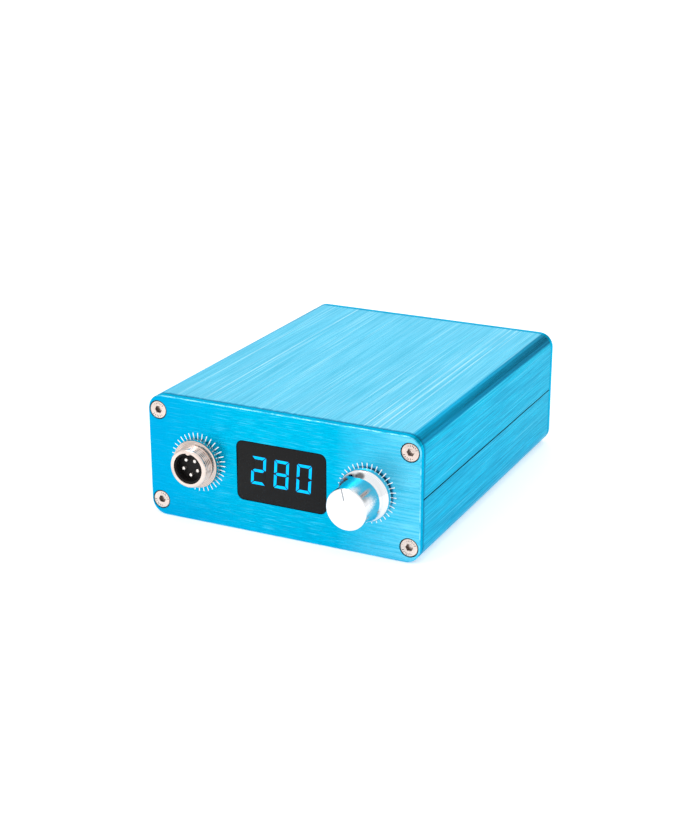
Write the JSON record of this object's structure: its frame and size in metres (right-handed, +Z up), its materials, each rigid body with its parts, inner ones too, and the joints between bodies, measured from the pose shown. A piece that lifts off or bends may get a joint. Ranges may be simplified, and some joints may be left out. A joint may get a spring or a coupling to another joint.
{
  "type": "pcb preheater controller",
  "caption": "Control box for a PCB preheater: split extruded case, round heater socket, digit display, turn-and-push knob, mains inlet and rocker switch behind.",
  "frame": {"origin": "middle of the case's underside, which rests on the bench; the knob and the inlet flange aren't counted", "axes": "+X to the right seen from the front, +Y from the front panel to the back, +Z up"},
  "size_m": [0.088, 0.1281, 0.038],
  "materials": {
    "blue_shell": "satin anodised, brushed lengthwise",
    "blue_panel": "satin anodised, brushed crosswise",
    "nickel": "bright nickel",
    "steel": "zinc plated",
    "plated_steel": "nickel plated",
    "dark_steel": "dark oxide",
    "polished_aluminium": "polished",
    "brass": "tinned",
    "black_plastic": "fine moulded",
    "rocker_plastic": "smooth moulded",
    "window": "dark tint, gloss",
    "white_plastic": "moulded",
    "green_board": "solder mask",
    "ferrite": "dull",
    "coil_tape": "tape",
    "capacitor_sleeve": "shrunk sleeve",
    "copper": "enamelled copper",
    "bare_aluminium": "as extruded",
    "fuse_glass": "clear",
    "brown_lead": "insulation",
    "blue_lead": "insulation",
    "green_lead": "insulation",
    "red_lead": "insulation",
    "grey_lead": "insulation"
  },
  "bodies": {
    "case": {"bulk_capacitor": "capacitor_sleeve", "control_board": "green_board", "display_module": "white_plastic", "display_window": "window", "encoder_base": "black_plastic", "encoder_bush": "nickel", "encoder_nut": "nickel", "encoder_washer": "steel", "front_panel": "blue_panel", "front_screw_1": "plated_steel", "front_screw_2": "plated_steel", "front_screw_3": "plated_steel", "front_screw_4": "plated_steel", "fuse": "fuse_glass", "heat_sink": "bare_aluminium", "heater_lead_1": "red_lead", "heater_lead_2": "red_lead", "inlet_blade_1": "brass", "inlet_blade_2": "brass", "inlet_blade_3": "brass", "inlet_housing": "black_plastic", "inlet_screw_1": "plated_steel", "inlet_screw_2": "plated_steel", "lead_earth": "green_lead", "lead_line": "brown_lead", "lead_neutral": "blue_lead", "lead_switched": "brown_lead", "line_choke": "copper", "lower_shell": "blue_shell", "output_capacitor": "capacitor_sleeve", "power_board": "green_board", "power_transistor": "black_plastic", "rear_panel": "blue_panel", "rear_screw_1": "plated_steel", "rear_screw_2": "plated_steel", "rear_screw_3": "plated_steel", "rear_screw_4": "plated_steel", "sensor_lead": "grey_lead", "socket_insert": "black_plastic", "socket_lock_washer": "steel", "socket_nut": "nickel", "socket_pin_1": "brass", "socket_pin_2": "brass", "socket_pin_3": "brass", "socket_pin_4": "brass", "socket_pin_5": "brass", "socket_shell": "nickel", "switch_housing": "black_plastic", "switch_terminal_1": "brass", "switch_terminal_2": "brass", "transformer_coil": "coil_tape", "transformer_core": "ferrite", "upper_shell": "blue_shell"},
    "encoder_rotor": {"encoder_rotor": "white_plastic"},
    "knob": {"knob": "polished_aluminium", "knob_set_screw": "dark_steel", "encoder_shaft": "steel"},
    "switch_rocker": {"switch_rocker": "rocker_plastic"}
  },
  "joints": [
    {"name": "knob_turn", "type": "hinge", "parent": "case", "child": "encoder_rotor", "pos_m": [0.0276, -0.05, 0.019], "axis": [0, 1, 0], "continuous": true},
    {"name": "knob_push", "type": "slide", "parent": "encoder_rotor", "child": "knob", "axis": [0, 1, 0], "range_m": [0, 0.0005], "stiffness_N_per_m": 4000},
    {"name": "switch_rock", "type": "hinge", "parent": "case", "child": "switch_rocker", "pos_m": [0.027, 0.05365, 0.019], "axis": [1, 0, 0], "range_deg": [-18, 0]}
  ]
}
